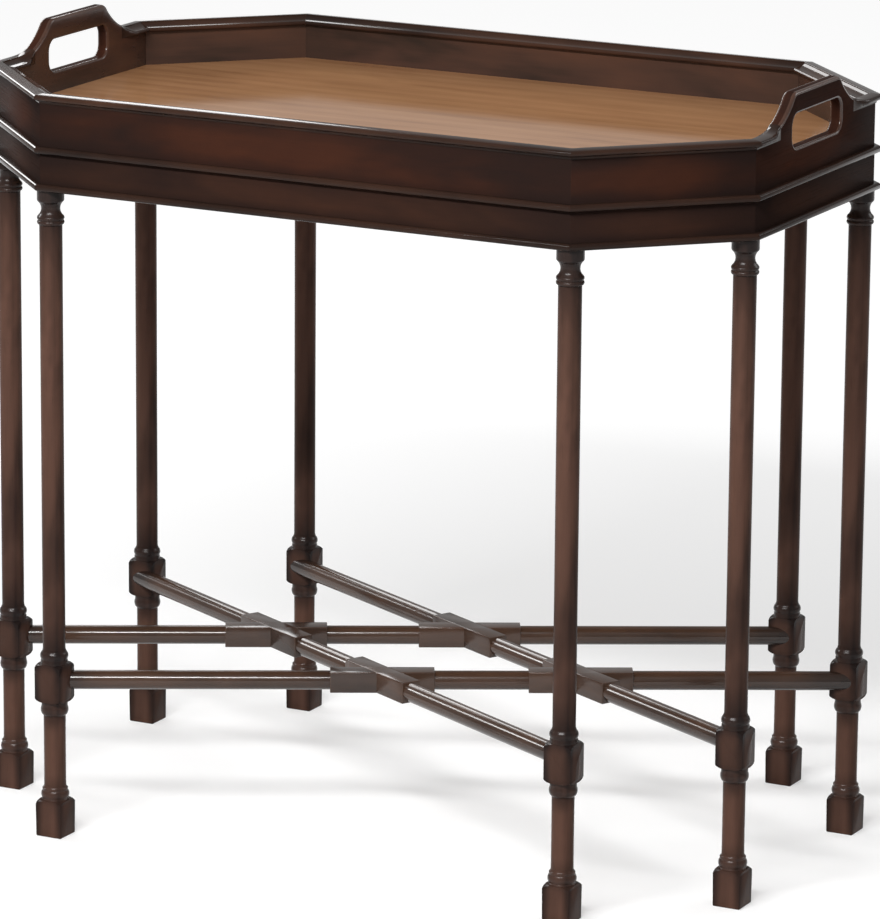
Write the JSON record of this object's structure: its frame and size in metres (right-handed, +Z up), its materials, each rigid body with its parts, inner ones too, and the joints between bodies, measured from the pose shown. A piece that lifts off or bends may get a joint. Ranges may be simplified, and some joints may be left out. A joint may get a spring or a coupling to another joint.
{
  "type": "butler's tray table",
  "caption": "Dark wood occasional table: a lift-off tray with cut corners and raised pierced handles rests on a stand of slim turned legs tied by crossed stretchers.",
  "frame": {"origin": "on the floor under the middle of the table", "axes": "+X along the table, towards the handle on the right; +Y to the rear; +Z up"},
  "size_m": [0.796, 0.52, 0.737],
  "materials": {
    "case_wood": "dark mahogany stain under glossy lacquer, darker at the edges",
    "turned_wood": "dark brown stain under satin lacquer, darker at the turnings",
    "panel_wood": "reddish honey brown veneer under glossy lacquer, grain along the length"
  },
  "bodies": {
    "stand": {"leg_left_front": "turned_wood", "leg_left_rear": "turned_wood", "leg_right_front": "turned_wood", "leg_right_rear": "turned_wood", "leg_front_left": "turned_wood", "leg_front_right": "turned_wood", "leg_rear_left": "turned_wood", "leg_rear_right": "turned_wood", "stretcher_lower_rear": "turned_wood", "stretcher_lower_front": "turned_wood", "stretcher_upper_front": "turned_wood", "stretcher_upper_rear": "turned_wood", "apron_front": "case_wood", "apron_corner_front_right": "case_wood", "apron_right": "case_wood", "apron_corner_rear_right": "case_wood", "apron_rear": "case_wood", "apron_corner_rear_left": "case_wood", "apron_left": "case_wood", "apron_corner_front_left": "case_wood", "base_bead_front": "case_wood", "base_bead_corner_front_right": "case_wood", "base_bead_right": "case_wood", "base_bead_corner_rear_right": "case_wood", "base_bead_rear": "case_wood", "base_bead_corner_rear_left": "case_wood", "base_bead_left": "case_wood", "base_bead_corner_front_left": "case_wood", "seat_bead_front": "case_wood", "seat_bead_corner_front_right": "case_wood", "seat_bead_right": "case_wood", "seat_bead_corner_rear_right": "case_wood", "seat_bead_rear": "case_wood", "seat_bead_corner_rear_left": "case_wood", "seat_bead_left": "case_wood", "seat_bead_corner_front_left": "case_wood"},
    "tray": {"tray_floor": "panel_wood", "tray_end_left": "case_wood", "tray_end_right": "case_wood", "tray_wall_front": "case_wood", "tray_wall_corner_front_right": "case_wood", "tray_wall_corner_rear_right": "case_wood", "tray_wall_rear": "case_wood", "tray_wall_corner_rear_left": "case_wood", "tray_wall_corner_front_left": "case_wood", "rim_front": "case_wood", "rim_corner_front_right": "case_wood", "rim_corner_rear_right": "case_wood", "rim_rear": "case_wood", "rim_corner_rear_left": "case_wood", "rim_corner_front_left": "case_wood", "rim_return_left_front": "case_wood", "rim_return_left_rear": "case_wood", "rim_return_right_front": "case_wood", "rim_return_right_rear": "case_wood"}
  },
  "joints": [
    {"name": "tray_lift", "type": "slide", "parent": "stand", "child": "tray", "axis": [0, 0, 1], "range_m": [0, 0.2]}
  ]
}
